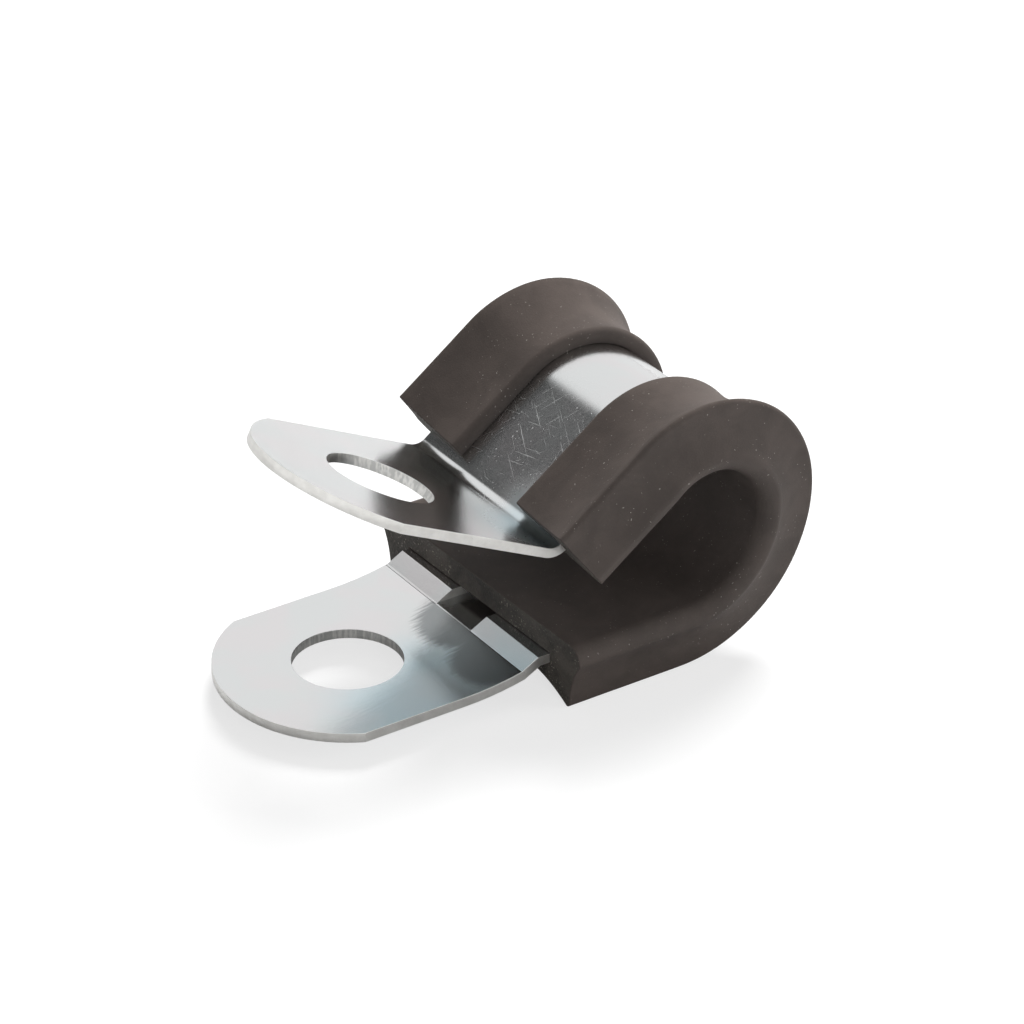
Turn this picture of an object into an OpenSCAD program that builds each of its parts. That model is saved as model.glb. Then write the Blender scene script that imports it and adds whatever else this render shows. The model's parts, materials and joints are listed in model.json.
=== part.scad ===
// P clip with a rubber lining, standing open on the flat floor of its loop.
// One folded steel strap, and one moulded rubber channel that wraps the strap's loop.
// Millimetres. X runs along the clip from the tabs to the loop, Y across the strap, Z up.

/* [Strap] */
// Width of the steel strap
strap_w = 15; // [12:0.5:20]
// Thickness of the steel strap
strap_t = 0.65; // [0.5:0.05:1]

/* [Tabs] */
// Diameter of the screw hole in each tab
hole_d = 6.8; // [5:0.1:8.4]
// From the hole's centre to the rounded end of the tab
tab_end = 8.15; // [7.5:0.05:11]
// How much larger the rounded end's radius is than half the strap's width
tab_end_ease = 0.85; // [0:0.05:2.5]
// From the lower hole's centre to the crease where the strap steps up
lower_reach = 7.7; // [6:0.1:16]
// Flat steel between the lower hole and the start of the tab's bow
lower_flat = 0.2; // [0.1:0.05:1]
// How far the lower tab bows up on its way to the crease
bow_rise = 0.42; // [0.1:0.01:1]
// From the upper hole's centre to the corner of the bend above the loop
upper_reach = 8.5; // [6.5:0.1:16]
// Angle between the two tabs while the clip is open
open_angle = 26; // [15:1:32]
// Inside radius of the bend between the upper tab and the loop
bend_r = 1; // [0.5:0.1:1.5]

/* [Step] */
// Height of the step from the crease up to the loop's floor
step_h = 0.58; // [0.2:0.01:1.2]
// Length of the sloping part of the step
step_run = 1.1; // [0.8:0.05:3]
// Width of the pressed dish in the middle of the step
dish_w = 3.8; // [2:0.1:4.6]
// Length of the dish, from the crease to its rounded end
dish_len = 3.9; // [3.5:0.1:6]

/* [Loop] */
// Length of the loop's flat floor
floor_run = 8.9; // [6:0.05:16]
// Radius of the loop's heel, at the middle of the strap's thickness
heel_r = 7.25; // [6.5:0.1:14]
// Radius of the loop's crown, at the middle of the strap's thickness
crown_r = 5.45; // [5:0.1:12]
// Slope of the straight run between the crown and the upper tab
crown_slope = 36; // [30:1:42]
// Length of that straight run inside the rubber
slope_run = 6.8; // [5:0.1:12]

/* [Rubber lining] */
// Thickness of the rubber between the strap and the cable
web_t = 1.65; // [1:0.05:2.2]
// Rubber beyond the strap's edge, on the cable's side
edge_in = 3.1; // [2.4:0.1:4]
// Rubber beyond the strap's edge, at the tips of the lips
edge_out = 2.1; // [1.5:0.1:3]
// Thickness of the lips where they end at the groove
lip_t = 1; // [0.8:0.05:1.5]
// How far the lips flare outward between the groove and the edge
lip_flare = 1.12; // [0.3:0.01:1.5]
// Width of the open groove between the two lips
groove_w = 7.1; // [6.8:0.1:8]
// Depth of the hollow in each lip's outer face
lip_hollow = 0.5; // [0.1:0.05:0.6]
// Depth of the hollow in each side face
side_hollow = 0.25; // [0.05:0.05:0.4]
// Rounding of the edge beside the cable
bore_round = 1.1; // [0.3:0.1:1.4]
// Rounding of the lips' outer edge
tip_round = 0.3; // [0.1:0.05:0.4]
// Rounding of the lips' edge at the groove
groove_round = 0.35; // [0.1:0.05:0.4]
// Clearance between the rubber and the strap inside it
seat_gap = 0.03; // [0.01:0.01:0.1]
// Bare strap between the step and the rubber
lower_bare = 0.55; // [0.05:0.05:3]
// Bare strap between the rubber and the bend
upper_bare = 0.25; // [0.05:0.05:3]

/* [Hidden] */
$fn = 96;
arc_steps = 8; // points along each rounding of the rubber's section
join = 0.003; // how much slimmer a straight run is than a curve, and how far it sinks into one
$inset = 0; // how far inside its true outline a section is drawn

// The rubber's depth outside the strap, and its section's half widths
lip_depth = lip_t + lip_flare;
half_t = strap_t / 2;
bore_v = half_t + web_t;
tip_v = -half_t - lip_depth;
half_in = strap_w / 2 + edge_in;
half_out = strap_w / 2 + edge_out;

// A place on the strap's middle line: [x, z, heading], headings from +X towards +Z.
function ahead(p, length) = [p[0] + length * cos(p[2]), p[1] + length * sin(p[2]), p[2]];
function swung(p, r, a) =
    [p[0] + r * (sin(p[2] + a) - sin(p[2])), p[1] + r * (cos(p[2]) - cos(p[2] + a)), p[2] + a];

// The bend above the loop turns from the slope's heading to the upper tab's
bend_angle = crown_slope + open_angle;
bend_mid_r = bend_r + half_t;
bend_tangent = bend_mid_r * tan(bend_angle / 2);

// Places along the strap, from the lower hole round the loop to the upper hole
floor_z = lip_depth + half_t;
hole_low = [0, floor_z - step_h - bow_rise, 0];
bow_start = ahead(hole_low, hole_d / 2 + lower_flat);
bow_run = lower_reach - bow_start[0];
bow_angle = 2 * atan(bow_rise / bow_run);
bow_mid_r = bow_run / sin(bow_angle);
crease = swung(bow_start, bow_mid_r, bow_angle);
step_angle = atan(step_h / step_run);
floor_start = [crease[0] + step_run, floor_z, 0];
lining_start = ahead(floor_start, half_t * tan(step_angle / 2) + lower_bare);
heel_start = ahead(floor_start, floor_run);
crown_start = swung(heel_start, heel_r, 90);
slope_start = swung(crown_start, crown_r, 90 + crown_slope);
slope_end = ahead(slope_start, slope_run + upper_bare);
bend_corner = ahead(slope_end, bend_tangent);
hole_high = ahead([bend_corner[0], bend_corner[1], 180 - open_angle], upper_reach);
bend_end = ahead(hole_high, bend_tangent - upper_reach);
tip_high = ahead(hole_high, tab_end);

// The model's origin is under the middle of the whole clip, on the surface it lies on
x_low = min(-tab_end, tip_high[0] - half_t * sin(open_angle));
x_high = crown_start[0] + half_t + lip_depth;
origin_x = (x_low + x_high) / 2;

module in_frame() {
    translate([-origin_x, 0, 0])
        children();
}

// Puts a child, made along +X with the loop's inside up, at a place on the strap's line
module at_place(p) {
    translate([p[0], 0, p[1]])
        rotate([0, -p[2], 0])
            children();
}

// A straight run of a section drawn in Y and Z. Its ends sink into the runs beside it, a hair
// inside their faces, because faces that only nearly meet leave a crack in the union.
module straight(p, length) {
    $inset = join;
    at_place(ahead(p, -join))
        rotate([90, 0, 90])
            linear_extrude(length + 2 * join)
                children();
}

// A run of the same section that turns inward through an angle
module curve(p, r, a) {
    at_place(p)
        translate([0, 0, r])
            rotate([90, 90, 0])
                rotate_extrude(angle = a)
                    translate([r, 0])
                        rotate(90)
                            children();
}

module strap_section() {
    square([strap_w - 2 * $inset, strap_t - 2 * $inset], center = true);
}

// A flat tab with its hole at the origin and its rounded end towards -X, which sinks into the
// next run as a straight run does
module tab(reach) {
    end_r = strap_w / 2 + tab_end_ease;
    width = strap_w - 2 * join;
    translate([0, 0, join - half_t])
        linear_extrude(strap_t - 2 * join)
            difference() {
                intersection() {
                    translate([-tab_end, -width / 2])
                        square([tab_end + reach + join, width]);
                    union() {
                        translate([end_r - tab_end, 0])
                            circle(end_r);
                        translate([end_r - tab_end, -width / 2])
                            square([reach + tab_end, width]);
                    }
                }
                circle(d = hole_d);
            }
}

// Where a run of the strap, n from its middle line, passes a crease between two headings
function mitre(n, from, to) =
    n / cos((to - from) / 2) * [-sin((from + to) / 2), cos((from + to) / 2)];

// The step up from the bow and the loop's flat floor, one run that is creased twice, with the
// dish pressed in the middle of the step. X and Z start from the first crease.
module step_and_floor() {
    n = half_t - join;
    sink = join + n * abs(tan((step_angle - bow_angle) / 2));
    back = -sink * [cos(bow_angle), sin(bow_angle)];
    fold = mitre(n, bow_angle, step_angle);
    corner = [step_run, step_h];
    last = [step_run + floor_run + join, step_h];
    dish_floor = fold[1];
    reach = dish_len + 2 * strap_t;
    translate([crease[0], 0, crease[1]])
        difference() {
            union() {
                across(strap_w - 2 * join)
                    polygon([
                        back + mitre(n, bow_angle, bow_angle),
                        fold,
                        corner + mitre(n, step_angle, 0),
                        last + [0, n],
                        last - [0, n],
                        corner - mitre(n, step_angle, 0),
                        -fold,
                        back - mitre(n, bow_angle, bow_angle)
                    ]);
                intersection() {
                    across(strap_w)
                        polygon([
                            [-sink, -dish_floor], [-sink, 0], corner,
                            [reach, step_h], [reach, -dish_floor]
                        ]);
                    round_ended(dish_len + strap_t, dish_w + 2 * strap_t, -strap_t, step_h);
                }
            }
            round_ended(dish_len, dish_w, dish_floor, step_h + strap_t);
        }
}

// An outline in X and Z, extruded across the strap about its middle
module across(width) {
    translate([0, width / 2, 0])
        rotate([90, 0, 0])
            linear_extrude(width)
                children();
}

// An upright block that starts before the crease and ends beyond it in a half circle
module round_ended(length, width, z_low, z_high) {
    translate([0, 0, z_low])
        linear_extrude(z_high - z_low) {
            translate([-strap_t, -width / 2])
                square([length + strap_t - width / 2, width]);
            translate([length - width / 2, 0])
                circle(d = width);
        }
}

module strap() {
    color("silver")
        in_frame() {
            at_place(hole_low)
                tab(bow_start[0]);
            curve(bow_start, bow_mid_r, bow_angle)
                strap_section();
            step_and_floor();
            curve(heel_start, heel_r, 90)
                strap_section();
            curve(crown_start, crown_r, 90 + crown_slope)
                strap_section();
            straight(slope_start, slope_run + upper_bare)
                strap_section();
            // The bend turns the other way, so it is drawn back from the tab
            curve([bend_end[0], bend_end[1], -open_angle], bend_mid_r, bend_angle)
                strap_section();
            at_place([hole_high[0], hole_high[1], -open_angle])
                tab(upper_reach - bend_tangent);
        }
}

// Points along an arc about c, from angle a to angle b
function arc(c, r, a, b) =
    [for (i = [0 : arc_steps])
        let (t = a + (b - a) * i / arc_steps)
        c + r * [cos(t), sin(t)]];

// Points between a and b along a shallow hollow, which dips to the right of the way from a to b
function hollow(a, b, depth) =
    let (
        chord = norm(b - a),
        along = (b - a) / chord,
        dip = [along[1], -along[0]],
        r = chord * chord / (8 * depth) + depth / 2,
        spread = asin(chord / (2 * r)),
        c = (a + b) / 2 - dip * (r - depth)
    )
    [for (i = [1 : arc_steps - 1])
        let (t = spread * (2 * i / arc_steps - 1))
        c + r * (dip * cos(t) + along * sin(t))];

// One half of the rubber's section, clockwise: u runs across the strap, v towards the cable
function lining_half() =
    let (
        slot_u = strap_w / 2 + seat_gap + $inset,
        slot_v = half_t + seat_gap + $inset,
        groove_u = groove_w / 2 + $inset,
        lip_v = $inset - half_t - lip_t,
        top_v = bore_v - $inset,
        edge_top = [half_in - $inset - bore_round, top_v - bore_round],
        edge_tip = [half_out - $inset - tip_round, tip_v + $inset + tip_round],
        edge_groove = [groove_u + groove_round, lip_v + groove_round]
    )
    concat(
        [[0, top_v]],
        arc(edge_top, bore_round, 90, 0),
        hollow(edge_top + [bore_round, 0], edge_tip + [tip_round, 0], side_hollow),
        arc(edge_tip, tip_round, 0, -90),
        hollow(edge_tip - [0, tip_round], edge_groove - [0, groove_round], lip_hollow),
        arc(edge_groove, groove_round, -90, -180),
        [[groove_u, -slot_v], [slot_u, -slot_v], [slot_u, slot_v], [0, slot_v]]
    );

// The rubber's whole section, a channel whose two lips fold over the strap's edges
module lining_section() {
    polygon(lining_half());
    mirror([1, 0])
        polygon(lining_half());
}

module lining() {
    color([0.2, 0.18, 0.17])
        in_frame() {
            straight(lining_start, heel_start[0] - lining_start[0])
                lining_section();
            curve(heel_start, heel_r, 90)
                lining_section();
            curve(crown_start, crown_r, 90 + crown_slope)
                lining_section();
            straight(slope_start, slope_run)
                lining_section();
        }
}

strap();
lining();
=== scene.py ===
# %% [markdown]
# # A P clip with a rubber lining
# A P clip holds a cable or a hose against a panel. One steel strap is folded round a loop, and its
# two ends are flat tabs with a hole for the same screw. A rubber channel wraps the loop, so that
# the steel can't cut the cable. The clip is shown open, as it comes out of the bag.
#
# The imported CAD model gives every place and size. This lesson adds what makes steel look like
# steel and rubber like rubber: soft edges, fine surface detail, and plain light.

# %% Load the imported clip
import json
import math

import bmesh
import bpy
from mathutils import Matrix, Vector


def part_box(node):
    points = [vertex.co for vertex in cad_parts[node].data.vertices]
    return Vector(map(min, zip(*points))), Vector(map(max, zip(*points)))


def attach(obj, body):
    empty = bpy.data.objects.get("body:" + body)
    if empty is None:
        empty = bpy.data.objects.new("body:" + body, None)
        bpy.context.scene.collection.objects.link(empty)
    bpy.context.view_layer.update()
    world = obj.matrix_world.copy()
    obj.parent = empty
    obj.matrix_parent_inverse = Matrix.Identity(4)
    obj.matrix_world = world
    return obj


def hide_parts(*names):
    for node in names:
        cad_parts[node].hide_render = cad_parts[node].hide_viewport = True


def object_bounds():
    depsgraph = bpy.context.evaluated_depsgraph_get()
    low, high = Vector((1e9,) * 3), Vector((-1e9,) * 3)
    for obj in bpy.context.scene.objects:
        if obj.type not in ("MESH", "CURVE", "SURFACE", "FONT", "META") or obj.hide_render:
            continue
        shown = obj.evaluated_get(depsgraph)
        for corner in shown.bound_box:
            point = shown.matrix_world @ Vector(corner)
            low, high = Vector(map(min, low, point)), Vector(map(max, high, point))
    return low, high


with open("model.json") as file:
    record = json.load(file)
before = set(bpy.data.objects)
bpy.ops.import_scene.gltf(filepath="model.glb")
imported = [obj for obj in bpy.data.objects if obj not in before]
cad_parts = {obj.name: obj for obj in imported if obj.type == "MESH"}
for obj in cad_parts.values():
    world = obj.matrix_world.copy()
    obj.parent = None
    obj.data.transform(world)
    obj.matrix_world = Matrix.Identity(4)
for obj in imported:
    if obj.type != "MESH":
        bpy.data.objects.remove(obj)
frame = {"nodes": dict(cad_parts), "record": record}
cad_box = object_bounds()
MM = 0.001
print("clip's size in mm:", [round((hi - lo) / MM, 2) for lo, hi in zip(*cad_box)])

# %% [markdown]
# ## The camera
# The clip is small, so it is seen from close by with a long lens: about 28 cm away, from above
# the tabs and a little to one side. The camera looks at a point in the loop, and its three axes
# are worked out from two angles and a very small roll.

# %% Place the camera
VIEW_AZIMUTH = math.radians(-34.08)
VIEW_ELEVATION = math.radians(30.21)
VIEW_ROLL = math.radians(0.32)
VIEW_DISTANCE = 282.2 * MM
AIM = Vector((3.684, 2.174, 6.639)) * MM
LENS, SENSOR_WIDTH = 162.14, 36
CLIP_START = 10 * MM


def new_object(name, data):
    """Puts data in the scene as an object at the origin."""
    thing = bpy.data.objects.new(name, data)
    bpy.context.collection.objects.link(thing)
    return thing


def place_camera():
    cos_turn, sin_turn = math.cos(VIEW_AZIMUTH), math.sin(VIEW_AZIMUTH)
    level = math.cos(VIEW_ELEVATION)
    look = Vector((-sin_turn * level, cos_turn * level, -math.sin(VIEW_ELEVATION)))
    right = Vector((cos_turn, sin_turn, 0))
    right.rotate(Matrix.Rotation(-VIEW_ROLL, 3, look))
    axes = Matrix((right, right.cross(look), -look)).transposed()
    camera = new_object("camera", bpy.data.cameras.new("camera"))
    camera.data.lens = LENS
    camera.data.sensor_width = SENSOR_WIDTH
    camera.data.clip_start = CLIP_START
    camera.matrix_world = Matrix.Translation(AIM - look * VIEW_DISTANCE) @ axes.to_4x4()
    bpy.context.scene.camera = camera
    return camera


camera = place_camera()
print("camera at", [round(v / MM, 1) for v in camera.location], "mm")

# %% [markdown]
# ## Sums on sockets
# A finish is a small program made of nodes. Written as plain sums it is much easier to read, so
# one class wraps a socket and turns each + - * into a Math node. One function adds any other
# node, to a material, to the world or to a Geometry Nodes tree.


# %% Values and nodes
class Value:
    """A number on its way through a node tree. Each sum with it adds a Math node."""

    def __init__(self, tree, socket):
        self.tree, self.socket = tree, socket

    def math(self, operation, first, second=0.0):
        values = {0: first, 1: second}
        node = add_node(self.tree, "ShaderNodeMath", {"operation": operation}, values)
        return Value(self.tree, node.outputs[0])

    def __add__(self, other):
        return self.math("ADD", self, other)

    def __radd__(self, other):
        return self.math("ADD", other, self)

    def __sub__(self, other):
        return self.math("SUBTRACT", self, other)

    def __rsub__(self, other):
        return self.math("SUBTRACT", other, self)

    def __mul__(self, other):
        return self.math("MULTIPLY", self, other)

    def __rmul__(self, other):
        return self.math("MULTIPLY", other, self)

    def __abs__(self):
        return self.math("ABSOLUTE", self)

    def at_most(self, other):
        return self.math("MINIMUM", self, other)

    def at_least(self, other):
        return self.math("MAXIMUM", self, other)


def feed(tree, socket, value):
    """Links a value or another node's output to a socket, or sets something plain on it."""
    if isinstance(value, Value):
        value = value.socket
    if isinstance(value, bpy.types.NodeSocket):
        tree.links.new(value, socket)
    else:
        socket.default_value = value


def add_node(tree, kind, settings=None, values=None):
    """Adds any node: its settings first, then the values or links of its sockets."""
    node = tree.nodes.new(kind)
    for name, value in (settings or {}).items():
        setattr(node, name, value)
    for slot, value in (values or {}).items():
        feed(tree, node.inputs[slot], value)
    return node


print("ready to add nodes")

# %% [markdown]
# ## What every finish needs
# A second class holds one material and the few patterns that rubber, zinc and the floor share.
# Every pattern reads Object coordinates, which don't slide when the camera moves, and they are
# scaled so that one unit is a millimetre.


# %% Finishes
class Finish:
    """A material, built by adding nodes in front of its one shader."""

    def __init__(self, name):
        self.material = bpy.data.materials.new(name)
        self.material.use_nodes = True
        self.tree = self.material.node_tree
        self.shader = self.tree.nodes["Principled BSDF"]
        place = self.node("TexCoord", output="Object")
        self.mm = self.node("VectorMath", {"operation": "SCALE"}, {0: place, "Scale": 1 / MM})

    def node(self, kind, settings=None, values=None, output=0):
        """Adds a node and gives one of its outputs."""
        node = add_node(self.tree, "ShaderNode" + kind, settings, values)
        return Value(self.tree, node.outputs[output])

    def stretched(self, x, y, z):
        """The place in millimetres, with each axis multiplied."""
        return self.node("VectorMath", {"operation": "MULTIPLY"}, {0: self.mm, 1: (x, y, z)})

    def streaks(self, lean, spin, length, width):
        """Noise drawn out along a line in a plate that leans about Y, for straight scratches."""
        place = self.node(
            "Mapping",
            {"vector_type": "TEXTURE"},
            {
                "Vector": self.mm,
                "Rotation": (math.radians(spin), math.radians(-90 - lean), 0),
                "Scale": (length, length, width),
            },
        )
        return self.noise(1.0, detail=2, distortion=0.3, place=place)

    def noise(self, size, detail=3.0, roughness=0.5, distortion=0.0, place=None):
        """Cloudy values about 0.5, whose blotches are about size millimetres across."""
        values = {
            "Vector": place or self.mm,
            "Scale": 1 / size,
            "Detail": detail,
            "Roughness": roughness,
            "Distortion": distortion,
        }
        return self.node("TexNoise", None, values)

    def step(self, value, low, high):
        """0 below low, 1 above high, and a smooth rise between them."""
        values = {"Value": value, "From Min": low, "From Max": high}
        return self.node("MapRange", {"interpolation_type": "SMOOTHSTEP"}, values)

    def mix(self, factor, first, second):
        """From the first colour to the second. Mix takes them at slots 6 and 7, and gives at 2."""
        return self.node("Mix", {"data_type": "RGBA"}, {0: factor, 6: first, 7: second}, 2)

    def bump(self, height, depth, under=None):
        """Makes relief from a height of 0 to 1, depth millimetres deep, over another relief."""
        values = {"Height": height, "Distance": depth * MM}
        if under:
            values["Normal"] = under
        return self.node("Bump", None, values)

    def set(self, **values):
        """Feeds the shader's own sockets, whose spaces are written as underscores."""
        for name, value in values.items():
            feed(self.tree, self.shader.inputs[name.replace("_", " ")], value)


print("ready to mix finishes")

# %% [markdown]
# ## Rubber
# The channel is EPDM rubber, filled with carbon black. Moulded faces are matt and dark warm grey,
# a little cloudy, with a fine grain and a few pale specks of the powder that keeps new rubber from
# sticking. Where the strip was cut to length, the face is torn rather than smooth: it is coarser,
# and its torn grains catch the light. One function makes both, from a few numbers of their own.

# %% Finish the rubber
CLOUD_SIZE, CLOUD_SHARE, CLOUD_EDGE = 3.0, 0.7, (0.36, 0.64)
POWDER_SIZE, POWDER_FADE = 0.13, 0.03
PATCH_SIZE, PATCH_EDGE = 2.2, (0.42, 0.64)
DENT_SIZE, DENT_DEPTH = 1.4, 0.02
RUBBER_ROUGH, FINE_ROUGH, CLOUD_ROUGH = 0.58, 0.2, 0.08
RUBBER_SPECULAR = 0.42


def rubber(name, dark, pale, grain, grain_depth, speck_level, speck_colour):
    finish = Finish(name)
    cloud = finish.noise(CLOUD_SIZE, detail=4, roughness=0.6, distortion=0.4)
    fine = finish.noise(grain, roughness=0.7)
    mottle = cloud * CLOUD_SHARE + fine * (1 - CLOUD_SHARE)
    colour = finish.mix(finish.step(mottle, *CLOUD_EDGE), dark, pale)
    powder = finish.noise(POWDER_SIZE, detail=0)
    speck = finish.step(powder, speck_level, speck_level + POWDER_FADE)
    patch = finish.step(finish.noise(PATCH_SIZE, detail=2), *PATCH_EDGE)
    dents = finish.bump(finish.noise(DENT_SIZE, detail=2), DENT_DEPTH)
    finish.set(
        Base_Color=finish.mix(speck * patch, colour, speck_colour),
        Roughness=RUBBER_ROUGH + fine * FINE_ROUGH + cloud * CLOUD_ROUGH,
        Normal=finish.bump(fine, grain_depth, dents),
        Specular_IOR_Level=RUBBER_SPECULAR,
    )
    return finish.material


RUBBER = rubber(
    "rubber",
    dark=(0.048, 0.0385, 0.034, 1),
    pale=(0.067, 0.054, 0.048, 1),
    grain=0.12,
    grain_depth=0.012,
    speck_level=0.79,
    speck_colour=(0.25, 0.23, 0.21, 1),
)
RUBBER_CUT = rubber(
    "rubber cut end",
    dark=(0.022, 0.019, 0.016, 1),
    pale=(0.085, 0.075, 0.064, 1),
    grain=0.15,
    grain_depth=0.1,
    speck_level=0.72,
    speck_colour=(0.30, 0.27, 0.23, 1),
)
print("rubber finishes:", RUBBER.name, "and", RUBBER_CUT.name)

# %% [markdown]
# ## The rubber's section
# The channel has the same section all the way round: a web beside the cable, side walls that
# cover the strap's edges, and two lips that fold over its back and leave a groove. Half of the
# section is drawn for each side, because the real groove lies a little off the middle. The side
# and lip faces are slightly hollow, which shows in the highlights along them. u runs across the
# strap, and v towards the cable.

# %% Draw the section
STRAP_W, STRAP_T, DISH_W = 15.0, 0.65, 3.8
WEB, LIP, FLARE, GROOVE = 1.65, 1.0, 1.12, 7.1
GROOVE_SHIFT = 0.4
EDGE_IN, EDGE_OUT = 3.1, 2.1
BORE_ROUND, TIP_ROUND, GROOVE_ROUND = 1.1, 0.3, 0.35
LIP_HOLLOW, SIDE_HOLLOW = 0.5, 0.25
SEAT_GAP = 0.03
BORE_STEPS, TIP_STEPS, HOLLOW_STEPS = 14, 8, 12


def arc(centre, radius, start, end, steps):
    """Points on an arc, with its angles in degrees."""
    turns = [math.radians(start + (end - start) * i / steps) for i in range(steps + 1)]
    return [centre + radius * Vector((math.cos(t), math.sin(t))) for t in turns]


def hollow(start, end, depth):
    """Points between two ends of a face that dips to the right of the way along it."""
    along = end - start
    dip = Vector((along.y, -along.x)).normalized() * depth
    shares = [i / HOLLOW_STEPS for i in range(1, HOLLOW_STEPS)]
    return [start + along * s + dip * (1 - (2 * s - 1) ** 2) for s in shares]


def half_section(groove_edge):
    half_t = STRAP_T / 2
    side = STRAP_W / 2
    top = Vector((side + EDGE_IN - BORE_ROUND, half_t + WEB - BORE_ROUND))
    tip = Vector((side + EDGE_OUT - TIP_ROUND, TIP_ROUND - half_t - LIP - FLARE))
    groove = Vector((groove_edge + GROOVE_ROUND, GROOVE_ROUND - half_t - LIP))
    slot_u, slot_v = side + SEAT_GAP, half_t + SEAT_GAP
    return (
        arc(top, BORE_ROUND, 90, 0, BORE_STEPS)
        + hollow(top + Vector((BORE_ROUND, 0)), tip + Vector((TIP_ROUND, 0)), SIDE_HOLLOW)
        + arc(tip, TIP_ROUND, 0, -90, TIP_STEPS)
        + hollow(tip - Vector((0, TIP_ROUND)), groove - Vector((0, GROOVE_ROUND)), LIP_HOLLOW)
        + arc(groove, GROOVE_ROUND, -90, -180, TIP_STEPS)
        + [Vector(p) for p in ((groove_edge, -slot_v), (slot_u, -slot_v), (slot_u, slot_v))]
    )


def poly_curve(name, points, closed=False):
    """A curve of straight pieces through points that are given in millimetres."""
    curve = bpy.data.curves.new(name, "CURVE")
    curve.dimensions = "3D"
    spline = curve.splines.new("POLY")
    spline.points.add(len(points) - 1)
    for place, point in zip(spline.points, points):
        place.co = (*(Vector(point) * MM), 1)
    spline.use_cyclic_u = closed
    return new_object(name, curve)


right, left = half_section(GROOVE / 2 - GROOVE_SHIFT), half_section(GROOVE / 2 + GROOVE_SHIFT)
outline = right + [Vector((-p.x, p.y)) for p in reversed(left)]
section = poly_curve("rubber_section", [(p.x, -p.y, 0) for p in outline], closed=True)
print("section of", len(outline), "points")

# %% [markdown]
# ## The rubber's path
# The strap's middle line is the path: a flat floor, a wide heel, a tighter crown, and a straight
# slope back down. Two arcs that meet with the same direction make the loop. The path starts
# where the CAD lining starts and turns back where the CAD lining reaches furthest.

# %% Lay out the path
HEEL_R, CROWN_R = 7.25, 5.45
CROWN_SLOPE, SLOPE_RUN = 36.0, 6.8
HEEL_STEPS, CROWN_STEPS = 60, 80
lining_low, lining_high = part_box("lining")
depth_out = STRAP_T / 2 + LIP + FLARE
heel = Vector((lining_high[0] / MM - depth_out - HEEL_R, lining_low[2] / MM + depth_out + HEEL_R))
crown = heel + Vector((HEEL_R - CROWN_R, 0))
lean = math.radians(CROWN_SLOPE)
slope_way = Vector((-math.cos(lean), -math.sin(lean)))

path_points = [Vector((lining_low[0] / MM, heel.y - HEEL_R))]
path_points += arc(heel, HEEL_R, -90, 0, HEEL_STEPS)
path_points += arc(crown, CROWN_R, 0, 90 + CROWN_SLOPE, CROWN_STEPS)[1:]
path_points.append(path_points[-1] + slope_way * SLOPE_RUN)
path = poly_curve("rubber_path", [(p.x, 0, p.y) for p in path_points])
path_length = sum((b - a).length for a, b in zip(path_points, path_points[1:]))
print("path is", round(path_length, 1), "mm long")

# %% [markdown]
# ## Sweep the rubber
# Curve to Mesh carries the section along the path, which is how the real strip is extruded. Its
# ends aren't quite square, so its rings slip along the path by a share of their distance from the
# middle, a little at the start and more at the end. Rubber is never quite true either, so a soft
# noise pushes the skin in and out by a hundredth or two of a millimetre. The tree has named
# inputs, so that it could dress a clip of another size.

# %% Build the sweep
SWEEP_INPUTS = {
    "Geometry": "Geometry",
    "Path": "Object",
    "Section": "Object",
    "Ring Spacing": "Float",
    "Waviness": "Float",
    "Skew at Start": "Float",
    "Skew at End": "Float",
    "Seed": "Int",
    "Rubber": "Material",
}
WAVE_SIZE = 4 * MM


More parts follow.
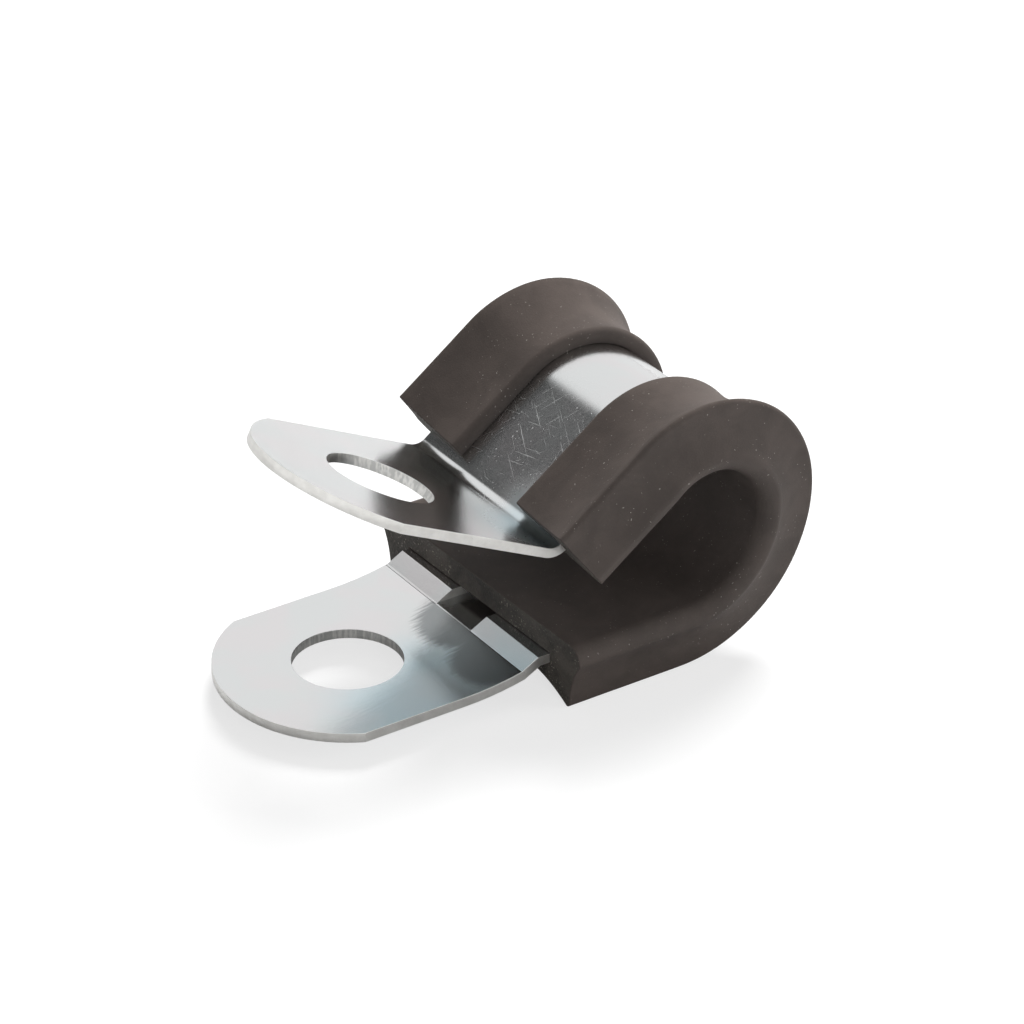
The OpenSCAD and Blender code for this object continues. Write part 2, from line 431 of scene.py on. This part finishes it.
def sweep_tree():
    tree = bpy.data.node_groups.new("swept rubber", "GeometryNodeTree")
    for name, kind in SWEEP_INPUTS.items():
        tree.interface.new_socket(name, in_out="INPUT", socket_type="NodeSocket" + kind)
    tree.interface.new_socket("Geometry", in_out="OUTPUT", socket_type="NodeSocketGeometry")

    def add(kind, values=None, settings=None):
        return add_node(tree, kind, settings, values)

    def moved(geometry, way, factor):
        values = {0: way, "Scale": factor}
        offset = add("ShaderNodeVectorMath", values, {"operation": "SCALE"}).outputs[0]
        values = {"Geometry": geometry, "Offset": offset}
        return add("GeometryNodeSetPosition", values).outputs[0]

    given = add("NodeGroupInput").outputs
    line = add("GeometryNodeObjectInfo", {"Object": given["Path"]}).outputs["Geometry"]
    shape = add("GeometryNodeObjectInfo", {"Object": given["Section"]}).outputs["Geometry"]
    values = {"Curve": line, "Length": given["Ring Spacing"]}
    rings = add("GeometryNodeResampleCurve", values, {"mode": "LENGTH"})

    marked = add("GeometryNodeCaptureAttribute", {"Geometry": rings.outputs[0]})
    marked.capture_items.new("VECTOR", "Along")
    marked.capture_items.new("FLOAT", "Share")
    feed(tree, marked.inputs["Along"], add("GeometryNodeInputTangent").outputs[0])
    feed(tree, marked.inputs["Share"], add("GeometryNodeSplineParameter").outputs["Factor"])
    values = {"Curve": marked.outputs["Geometry"], "Profile Curve": shape, "Fill Caps": True}
    skin = add("GeometryNodeCurveToMesh", values).outputs[0]

    place = add("ShaderNodeSeparateXYZ", {0: add("GeometryNodeInputPosition").outputs[0]})
    ends = {2: given["Skew at Start"], 3: given["Skew at End"]}
    skew = add("ShaderNodeMix", {0: marked.outputs["Share"], **ends}).outputs[0]
    skin = moved(skin, marked.outputs["Along"], Value(tree, place.outputs["Y"]) * skew)

    values = {"W": given["Seed"], "Scale": 1 / WAVE_SIZE, "Detail": 2.0}
    waves = add("ShaderNodeTexNoise", values, {"noise_dimensions": "4D"}).outputs[0]
    height = (Value(tree, waves) - 0.5) * given["Waviness"]
    skin = moved(skin, add("GeometryNodeInputNormal").outputs[0], height)

    skin = add("GeometryNodeRealizeInstances", {"Geometry": skin}).outputs[0]
    values = {"Geometry": skin, "Material": given["Rubber"]}
    skin = add("GeometryNodeSetMaterial", values).outputs[0]
    add("NodeGroupOutput", {"Geometry": skin})
    return tree


sweep = sweep_tree()
print("sweep of", len(sweep.nodes), "nodes")

# %% [markdown]
# ## Run the sweep
# The tree runs as a modifier on an empty mesh, and its inputs are set by the identifiers of its
# sockets. What it makes is then turned into a plain mesh, and the modifier goes.


# %% Run the sweep
def settle(piece):
    """Turns what a piece's modifiers make into its own plain mesh."""
    seen = piece.evaluated_get(bpy.context.evaluated_depsgraph_get())
    mesh = bpy.data.meshes.new_from_object(seen)
    piece.modifiers.clear()
    piece.data = mesh


def swept(name, tree, inputs):
    piece = new_object(name, bpy.data.meshes.new(name))
    modifier = piece.modifiers.new("sweep", "NODES")
    modifier.node_group = tree
    for item in tree.interface.items_tree:
        if item.in_out == "INPUT" and item.name in inputs:
            modifier[item.identifier] = inputs[item.name]
    settle(piece)
    return piece


strip = {
    "Path": path,
    "Section": section,
    "Ring Spacing": 0.3 * MM,
    "Waviness": 0.04 * MM,
    "Skew at Start": -0.02,
    "Skew at End": -0.06,
    "Seed": 4,
    "Rubber": RUBBER,
}
lining = swept("rubber_lining", sweep, strip)
print("lining has", len(lining.data.polygons), "faces")

# %% [markdown]
# ## Soften the rubber's cut ends
# Curve to Mesh closes each end with one flat face, which gives a razor-sharp rim. The blade
# leaves a rim that is rounded by a few hundredths of a millimetre, so the rims are bevelled, and
# the flat end gets the torn finish.

# %% Round the ends
CAP_SIDES = 8
RIM_ROUND, RIM_SEGMENTS, RIM_PROFILE = 0.07 * MM, 3, 0.6


def soften_ends(piece, finish):
    """Rounds the rims of the two caps, which are the only faces with more than eight sides."""
    piece.data.materials.append(finish)
    mesh = bmesh.new()
    mesh.from_mesh(piece.data)
    ends = [face for face in mesh.faces if len(face.verts) > CAP_SIDES]
    for face in ends:
        face.material_index = 1
    bmesh.ops.bevel(
        mesh,
        geom=[edge for face in ends for edge in face.edges],
        offset=RIM_ROUND,
        segments=RIM_SEGMENTS,
        profile=RIM_PROFILE,
        affect="EDGES",
        clamp_overlap=True,
    )
    bmesh.ops.recalc_face_normals(mesh, faces=mesh.faces)
    for face in mesh.faces:
        face.smooth = len(face.verts) < CAP_SIDES
    mesh.to_mesh(piece.data)
    mesh.free()
    return len(ends)


print("cut ends:", soften_ends(lining, RUBBER_CUT))
for helper in (path, section):
    bpy.data.objects.remove(helper)
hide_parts("lining")
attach(lining, "root")

# %% [markdown]
# ## Places on the steel
# The strap is worn and tinted in some places and not in others. A place is a point in
# millimetres with a reach round it, and a line is a narrow range of one coordinate. The record's
# mounts give the middle of each tab's hole and the way that the tab faces.

# %% Find places on the steel
mounts = {mount["name"]: mount for mount in frame["record"]["mounts"]}
tabs = [
    (Vector(mounts[name]["pos_m"]), Vector(mounts[name]["axis"]))
    for name in ("lower_hole", "upper_hole")
]
CREASE_GAP = 1.83
CREASE_X = lining_low[0] / MM - CREASE_GAP
CREASE_EDGE, DISH_EDGE, TAB_TOP = (0.02, 0.06), (DISH_W / 2, DISH_W / 2 + 0.1), (2.6, 2.8)
NEAR_CORE = 0.4


def near(finish, place, reach):
    """1 at a place in millimetres, fading to 0 at a distance of reach."""
    away = finish.node("VectorMath", {"operation": "DISTANCE"}, {0: finish.mm, 1: place}, "Value")
    return 1 - finish.step(away, reach * NEAR_CORE, reach)


def coordinates(finish):
    """The three parts of the place in millimetres."""
    parts = add_node(finish.tree, "ShaderNodeSeparateXYZ", None, {0: finish.mm})
    return [Value(finish.tree, part) for part in parts.outputs]


def crease_line(finish):
    """1 along the die's mark across the lower tab, on both sides of the dish."""
    x, y, z = coordinates(finish)
    line = 1 - finish.step(abs(x - CREASE_X), *CREASE_EDGE)
    beside_dish = finish.step(abs(y), *DISH_EDGE)
    lower_tab = 1 - finish.step(z, *TAB_TOP)
    return line * beside_dish * lower_tab


print("crease at x =", round(CREASE_X, 2), "mm")

# %% [markdown]
# ## Bright zinc
# The strap is steel sheet with a bright zinc plate. It mirrors what is round it, a little
# blurred. The passivation bath leaves faint clouds of pink, and blue at a corner of the lower tab
# and beside the sharp bend. A tint is a colour that is mixed in by a mask, and a mask is a value
# from 0 to 1.

# %% Tint the sheet
PLAIN, PINK, BLUE = (0.70, 0.715, 0.715, 1), (0.72, 0.705, 0.71, 1), (0.56, 0.68, 0.725, 1)
TINT_SIZE, TINT_EDGE = 4.0, (0.4, 0.65)
TAB_CORNER, TAB_BLUE_REACH = (-7.0, -7.0, 1.8), 9.0
BEND_CORNER, BEND_BLUE_REACH, BEND_BLUE = (0.0, -5.0, 9.8), 4.5, 0.6
BLUE_LEVEL = 1.35


def zinc_tint(finish):
    """Clouds of faint pink, and blue at two corners, less where a cloud is thick."""
    cloud = finish.noise(TINT_SIZE, distortion=0.6)
    colour = finish.mix(finish.step(cloud, *TINT_EDGE), PLAIN, PINK)
    on_tab = near(finish, TAB_CORNER, TAB_BLUE_REACH)
    by_bend = near(finish, BEND_CORNER, BEND_BLUE_REACH) * BEND_BLUE
    return finish.mix((on_tab + by_bend) * (BLUE_LEVEL - cloud).at_most(1.0), colour, BLUE)


print("tint in clouds of", TINT_SIZE, "mm")

# %% [markdown]
# ## Wear on the sheet, and a painted reflection
# Handling has drawn fine straight scratches over the strap's slope, with small bright specks
# between them. A dark patch with streaked edges is painted on the lower tab in front of the
# crease: a painted reflection of the dark rubber, which the tab mirrors there. A scratch is noise
# that is stretched along a line in the sheet, of which only the highest parts show. Several such
# sets of lines, each turned by its own angle, cross each other.

# %% Wear the sheet
# The painted reflection: spots on the lower tab where its colour is darkened, as if it mirrored
# the dark rubber.
MIRRORED_RUBBER_SPOTS, MIRRORED_RUBBER_REACH, MIRRORED_RUBBER_EDGE = ((-1.6, -0.6, 1.9), (-2.2, -5.2, 1.9)), 4.2, (0.2, 0.75)
MIRRORED_RUBBER_STREAKS, CREASE_SOFT = 0.9, 0.05
SLOPE_LEAN = 36
LONG_SCRATCHES = {"spins": (12, 66, 104, 151), "length": 4.5, "width": 0.055, "rarity": 0.71}
SHORT_SCRATCHES = {"spins": (-8, 48, 139), "length": 1.5, "width": 0.05, "rarity": 0.73}
SCRATCH_FADE, SHORT_SHARE = 0.03, 0.7
SPECK_SIZE, SPECK_EDGE = 0.16, (0.72, 0.78)
LINE_STRENGTH, SPECK_STRENGTH, LEAST_WEAR = 0.7, 0.9, 0.08


def painted_reflection_patch(finish, rolled):
    """1 on the painted reflection, a dark patch that stands in for the rubber mirrored in the tab,
    and that ends at the crease.
    """
    first, second = (near(finish, spot, MIRRORED_RUBBER_REACH) for spot in MIRRORED_RUBBER_SPOTS)
    patch = finish.step(first.at_least(second) + (rolled - 0.5) * MIRRORED_RUBBER_STREAKS, *MIRRORED_RUBBER_EDGE)
    x = coordinates(finish)[0]
    return patch * (1 - finish.step(x, CREASE_X - CREASE_SOFT, CREASE_X + CREASE_SOFT))


def scratches(finish, spins, length, width, rarity):
    """Fine straight scratches that cross each other in the leaning part of the strap."""
    marks = 0.0
    for spin in spins:
        lines = finish.streaks(SLOPE_LEAN, spin, length, width)
        marks = finish.step(lines, rarity, rarity + SCRATCH_FADE) + marks
    return marks.at_most(1.0)


def wear(finish, worn):
    """Scratches and bright specks, faint everywhere and plain where the slope is worn."""
    short = scratches(finish, **SHORT_SCRATCHES) * SHORT_SHARE
    lines = scratches(finish, **LONG_SCRATCHES) + short
    specks = finish.step(finish.noise(SPECK_SIZE, detail=1), *SPECK_EDGE)
    marks = (lines * LINE_STRENGTH + specks * SPECK_STRENGTH).at_most(1.0)
    return marks * (LEAST_WEAR + worn * (1 - LEAST_WEAR))


print("sets of scratches:", len(LONG_SCRATCHES["spins"]) + len(SHORT_SCRATCHES["spins"]))

# %% [markdown]
# ## The sheet's finish
# The finish puts the tints, the painted reflection and the wear together over three layers of
# relief: the long marks of rolling, a fine grain, and the crease. A scratched or stretched plate
# scatters light, so the marks, the worn slope and the sharp bend are rougher as well.

# %% Finish the sheet
# The first colour is the dark of the painted reflection on the lower tab.
PAINTED_REFLECTION, BARE = (0.20, 0.215, 0.22, 1), (0.86, 0.86, 0.86, 1)
PAINTED_REFLECTION_STRENGTH, BARE_STRENGTH = 0.8, 0.5
SLOPE_MIDDLE, SLOPE_REACH, BEND_ROUGH_REACH = (4.2, 0.0, 12.4), 6.5, 5.5
GRAIN_SIZE, GRAIN_DEPTH = 0.25, 0.0016
ROLLED_SIZE, ROLLED_STRETCH, ROLLED_DEPTH = 0.8, (0.5, 8.0, 0.5), 0.0025
CREASE_DEPTH = 0.03
PLAIN_ROUGH, GRAIN_ROUGH, MARK_ROUGH, WORN_ROUGH, BEND_ROUGH = 0.13, 0.07, 0.35, 0.05, 0.12


def zinc_sheet():
    finish = Finish("zinc plate")
    grain = finish.noise(GRAIN_SIZE, detail=4, roughness=0.65)
    along = finish.stretched(*ROLLED_STRETCH)
    rolled = finish.noise(ROLLED_SIZE, detail=4, roughness=0.7, place=along)
    worn = near(finish, SLOPE_MIDDLE, SLOPE_REACH)
    bent = near(finish, BEND_CORNER, BEND_ROUGH_REACH)
    marks = wear(finish, worn)
    # Painted reflection: the lower tab's colour is darkened where it would mirror the dark rubber.
    painted_reflection = painted_reflection_patch(finish, rolled) * PAINTED_REFLECTION_STRENGTH
    colour = finish.mix(painted_reflection, zinc_tint(finish), PAINTED_REFLECTION)
    relief = finish.bump(grain, GRAIN_DEPTH, finish.bump(rolled, ROLLED_DEPTH))
    rough = PLAIN_ROUGH + grain * GRAIN_ROUGH + marks * MARK_ROUGH
    finish.set(
        Base_Color=finish.mix(marks * BARE_STRENGTH, colour, BARE),
        Metallic=1.0,
        Roughness=rough + worn * WORN_ROUGH + bent * BEND_ROUGH,
        Normal=finish.bump(1 - crease_line(finish), CREASE_DEPTH, relief),
    )
    return finish.material


ZINC = zinc_sheet()
print("sheet finish:", ZINC.name)

# %% [markdown]
# ## Cut edges
# The cut edges of the strap are another surface: sheared metal, paler and rougher, with fine
# marks across the thickness. The punched walls of the two holes are darker, with bright bars
# where the punch has dragged.

# %% Finish the cut edges
SHEARED_DARK, SHEARED_PALE = (0.80, 0.79, 0.76, 1), (0.90, 0.89, 0.86, 1)
SHEAR_SIZE, SHEAR_EDGE, SHEAR_DEPTH = 0.8, (0.3, 0.7), 0.02
BURR_SIZE, BURR_DEPTH = 0.12, 0.006
PUNCHED, HOLE_REACH = (0.30, 0.31, 0.31, 1), 5.0
BAR_SIZE, BAR_STRETCH, BAR_EDGE, BAR_STRENGTH = 0.7, (2.5, 2.5, 0.4), (0.42, 0.6), 0.7
SHEAR_ROUGH, BURR_ROUGH = 0.22, 0.2


def zinc_edge():
    finish = Finish("zinc cut edge")
    shear = finish.noise(SHEAR_SIZE, roughness=0.55, distortion=0.2)
    burr = finish.noise(BURR_SIZE, roughness=0.6)
    colour = finish.mix(finish.step(shear, *SHEAR_EDGE), SHEARED_DARK, SHEARED_PALE)
    lower, upper = (near(finish, tuple(hole / MM), HOLE_REACH) for hole, axis in tabs)
    dragged = finish.noise(BAR_SIZE, roughness=0.6, place=finish.stretched(*BAR_STRETCH))
    punched = (lower + upper) * (1 - finish.step(dragged, *BAR_EDGE) * BAR_STRENGTH)
    finish.set(
        Base_Color=finish.mix(punched, colour, PUNCHED),
        Metallic=0.9,
        Roughness=SHEAR_ROUGH + burr * BURR_ROUGH,
        Normal=finish.bump(shear, SHEAR_DEPTH, finish.bump(burr, BURR_DEPTH)),
    )
    return finish.material


ZINC_EDGE = zinc_edge()
print("edge finish:", ZINC_EDGE.name)

# %% [markdown]
# ## The strap's edges
# The CAD strap has the right shape but perfectly sharp edges, and a sharp edge never glints. A
# copy of its mesh is merged, its flat triangles are joined into whole faces, and a narrow bevel
# goes along every real edge. The small step at the crease turns less than other edges do, so it
# has a limit of its own.

# %% Dress the strap
SHARP_TURN, STEP_TURN = 22, 10
STEP_HEIGHT, STEP_MARGIN, STRAIGHT_WITHIN = 3, 0.3, 0.01
MERGE_WITHIN, FLAT_WITHIN = 0.05 * MM, math.radians(0.6)
EDGE_ROUND, EDGE_SEGMENTS = 0.07 * MM, 3


def is_sharp(edge):
    """True for a real edge of the steel: not for the small turns that make up a curve."""
    turn = math.degrees(edge.calc_face_angle(0))
    first, second = (vert.co / MM for vert in edge.verts)
    across = (first - second).xz.length < STRAIGHT_WITHIN
    in_step = CREASE_X - STEP_MARGIN < first.x < lining_low[0] / MM and first.z < STEP_HEIGHT
    return turn > SHARP_TURN or (across and in_step and turn > STEP_TURN)


def dress_strap(source):
    mesh = bmesh.new()
    mesh.from_mesh(source.data)
    bmesh.ops.remove_doubles(mesh, verts=mesh.verts, dist=MERGE_WITHIN)
    bmesh.ops.dissolve_limit(mesh, angle_limit=FLAT_WITHIN, verts=mesh.verts, edges=mesh.edges)
    weight = mesh.edges.layers.float.new("bevel_weight_edge")
    for edge in mesh.edges:
        edge[weight] = float(is_sharp(edge))
    skin = bpy.data.meshes.new("zinc_strap")
    mesh.to_mesh(skin)
    mesh.free()
    skin.materials.append(ZINC)
    skin.materials.append(ZINC_EDGE)
    piece = new_object("zinc_strap", skin)
    rounding = piece.modifiers.new("bevel", "BEVEL")
    rounding.width = EDGE_ROUND
    rounding.segments = EDGE_SEGMENTS
    rounding.limit_method = "WEIGHT"
    rounding.loop_slide = False
    settle(piece)
    return piece


strap = dress_strap(frame["nodes"]["strap"])
print("strap has", len(strap.data.polygons), "faces")

# %% [markdown]
# ## Which faces are cut edges
# Every face of the sheet's own surface is square to the strap's middle line. The mounts say how
# the two tabs lean. On a tab, a face that leans more than halfway away from the tab's own
# direction is a cut edge or a hole's wall. On the loop, it is a face that looks sideways.

# %% Sort the strap's faces
TAB_REACH = 8.4 * MM
SIDEWAYS, SQUARE_TO_TAB = 0.7, 0.6


def is_cut(face):
    if abs(face.normal.y) > SIDEWAYS:
        return True
    for hole, axis in tabs:
        away = face.center - hole
        on_tab = abs(away.dot(axis)) < STRAP_T * MM and away.length < TAB_REACH
        if on_tab and abs(face.normal.dot(axis)) < SQUARE_TO_TAB:
            return True
    return False


for face in strap.data.polygons:
    face.material_index = int(is_cut(face))
    face.use_smooth = True
weighted = strap.modifiers.new("weighted", "WEIGHTED_NORMAL")
weighted.keep_sharp = True
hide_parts("strap")
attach(strap, "root")
print("cut faces:", sum(face.material_index for face in strap.data.polygons))

# %% [markdown]
# ## Floor and backdrop
# A small part shows best on plain white with light from all round. The floor is a wide pale sheet
# that keeps the clip's shadow. It glows for the camera, so that it is nearly as white as the
# backdrop, and it is darker in reflections, so that the steel's low faces don't burn out.

# %% Lay the floor
WHITE, BLACK = (1, 1, 1, 1), (0, 0, 0, 1)
FLOOR_SIZE, FLOOR_GAP = 1.6, 0.01 * MM
FLOOR_SEEN, FLOOR_LIT = (0.3, 0.3, 0.3, 1), (0.68, 0.68, 0.68, 1)
FLOOR_MIRRORED = (0.38, 0.38, 0.38, 1)
GLOW_SEEN, GLOW_MIRRORED = 0.7, 0.1


def rays(tree, *kinds):
    """1 for a ray of one of these kinds, and 0 for any other."""
    path = add_node(tree, "ShaderNodeLightPath")
    found, *others = [Value(tree, path.outputs[f"Is {kind} Ray"]) for kind in kinds]
    for other in others:
        found = found.at_least(other)
    return found


def make_floor():
    bpy.ops.mesh.primitive_plane_add(size=FLOOR_SIZE)
    floor = bpy.context.object
    floor.name = "floor"
    floor.location.z = cad_box[0][2] - FLOOR_GAP
    finish = Finish("white floor")
    seen = rays(finish.tree, "Camera", "Transmission")
    mirrored = rays(finish.tree, "Glossy")
    unseen = finish.mix(mirrored, FLOOR_LIT, FLOOR_MIRRORED)
    glow = (seen * GLOW_SEEN).at_least(mirrored * GLOW_MIRRORED)
    finish.set(
        Base_Color=finish.mix(seen, unseen, FLOOR_SEEN),
        Roughness=0.9,
        Specular_IOR_Level=0.0,
        Emission_Color=finish.mix(glow, BLACK, WHITE),
        Emission_Strength=1.0,
    )
    floor.data.materials.append(finish.material)


make_floor()
print("floor at z =", round((cad_box[0][2] - FLOOR_GAP) / MM, 2), "mm")

# %% [markdown]
# ## Light
# The world is plain white to the camera and in reflections, and a much weaker light to everything
# else. Steel under an even white sky looks flat, so reflections also find one dim corner. Three
# soft lamps add shape. They stay out of reflections, where they would burn out the steel.

# %% Light the clip
WORLD_LIGHT = 0.2
DIM_WAY, DIM_SHADE, DIM_EDGE = (-0.42, 0.68, 0.6), 0.94, (0.95, 0.982)
LAMPS = {
    "key": {"place": (0.26, 0.2, 0.38), "size": 0.25, "watts": 5.0},
    "right": {"place": (0.42, -0.3, 0.12), "size": 0.3, "watts": 1.3},
    "front": {"place": (-0.15, -0.5, 0.25), "size": 0.3, "watts": 0.7},
}


def light_world():
    """White to the camera, weaker as a light, and with one dim corner for the steel to mirror."""
    world = bpy.data.worlds.new("studio")
    bpy.context.scene.world = world
    world.use_nodes = True
    tree = world.node_tree
    way = add_node(tree, "ShaderNodeTexCoord").outputs["Generated"]
    values = {0: way, 1: Vector(DIM_WAY).normalized()}
    facing = add_node(tree, "ShaderNodeVectorMath", {"operation": "DOT_PRODUCT"}, values)
    values = dict(zip(("From Min", "From Max"), DIM_EDGE), Value=facing.outputs["Value"])
    corner = add_node(tree, "ShaderNodeMapRange", {"interpolation_type": "SMOOTHSTEP"}, values)
    dim = Value(tree, corner.outputs[0]) * rays(tree, "Glossy") * DIM_SHADE
    seen = rays(tree, "Camera", "Glossy", "Transmission")
    background = tree.nodes["Background"].inputs
    feed(tree, background["Color"], WHITE)
    feed(tree, background["Strength"], WORLD_LIGHT + seen * (1 - WORLD_LIGHT) - dim)


def add_lamp(name, place, size, watts):
    lamp = new_object(name, bpy.data.lights.new(name, "AREA"))
    lamp.data.size = size
    lamp.data.energy = watts
    lamp.location = place
    lamp.rotation_euler = (AIM - Vector(place)).to_track_quat("-Z", "Y").to_euler()
    lamp.visible_glossy = False


light_world()
for name, lamp in LAMPS.items():
    add_lamp(name, **lamp)
bpy.context.scene.view_settings.view_transform = "Standard"
print("lamps:", ", ".join(LAMPS))
